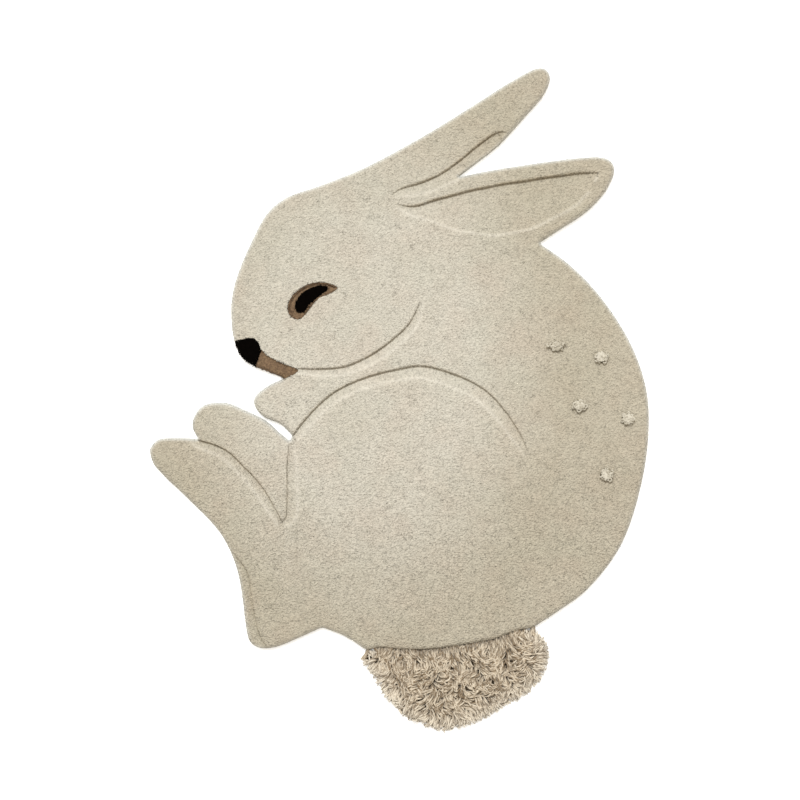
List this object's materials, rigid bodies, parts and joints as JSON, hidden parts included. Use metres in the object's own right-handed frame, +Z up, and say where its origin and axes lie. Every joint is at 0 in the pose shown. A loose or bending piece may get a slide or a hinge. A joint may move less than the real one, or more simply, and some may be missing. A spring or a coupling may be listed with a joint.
{
  "type": "rabbit shaped kids rug",
  "caption": "Flat hand-tufted floor rug in the outline of a rabbit lying curled up, with carved parting lines, an inlaid eye and nose, and a long shag tail.",
  "frame": {"origin": "on the floor, under the middle of the whole rug's box", "axes": "+Z up out of the pile, +Y towards the ear tips along the longest side, +X towards the rabbit's back"},
  "size_m": [0.827, 1.0996, 0.025],
  "materials": {
    "pale_pile": "short cut wool pile, oatmeal",
    "black_pile": "short cut wool pile, black",
    "brown_pile": "short cut wool pile, brown",
    "shag": "long shag yarn, cream and beige",
    "knot_yarn": "looped wool yarn, oatmeal"
  },
  "bodies": {
    "root": {"rug_body": "pale_pile", "nose": "black_pile", "muzzle": "brown_pile", "eye_surround": "brown_pile", "eye_pupil": "black_pile", "tail_shag": "shag", "back_knot_1": "knot_yarn", "back_knot_2": "knot_yarn", "back_knot_3": "knot_yarn", "back_knot_4": "knot_yarn", "back_knot_5": "knot_yarn"}
  },
  "joints": []
}
